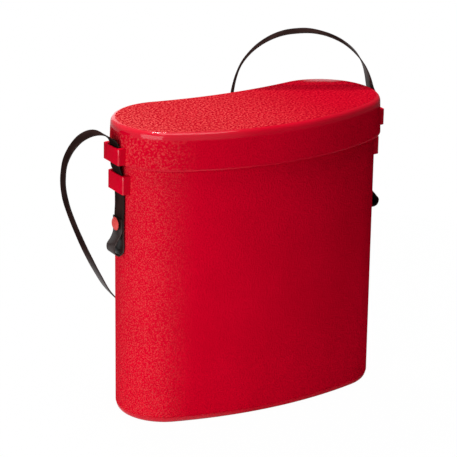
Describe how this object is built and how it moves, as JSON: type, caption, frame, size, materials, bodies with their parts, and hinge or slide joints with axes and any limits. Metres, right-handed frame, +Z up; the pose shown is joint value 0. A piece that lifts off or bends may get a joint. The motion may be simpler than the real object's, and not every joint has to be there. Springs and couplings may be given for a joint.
{
  "type": "lidded carry bin",
  "caption": "Red moulded carry bin with a kidney-shaped plan, a deep push-over lid and a flat black shoulder strap threaded through moulded keepers at both ends.",
  "frame": {"origin": "on the standing foot's plane, under the middle of the bin and lid's box; the strap is left out", "axes": "+X to the bin's right end as seen from the front, -Y the convex front, +Y the hollow back, +Z up"},
  "size_m": [0.3474, 0.1574, 0.3545],
  "materials": {
    "bin_red": "red moulded plastic with a fine grain on its walls and plain edges",
    "lid_red": "red moulded plastic with a fine grain on top and skirt and polished rounds",
    "strap_black": "black-brown strap with a soft sheen",
    "stud_red": "smooth red moulded plastic"
  },
  "bodies": {
    "bin": {"bin_body": "bin_red", "strap_end_left": "strap_black", "strap_end_right": "strap_black", "stud_cap_left": "stud_red", "stud_cap_right": "stud_red", "stud_post_left": "stud_red", "stud_post_right": "stud_red"},
    "lid": {"lid": "lid_red", "strap_free": "strap_black"}
  },
  "joints": [
    {"name": "lid_lift", "type": "slide", "parent": "bin", "child": "lid", "axis": [0, 0, 1], "range_m": [0, 0.12]}
  ]
}
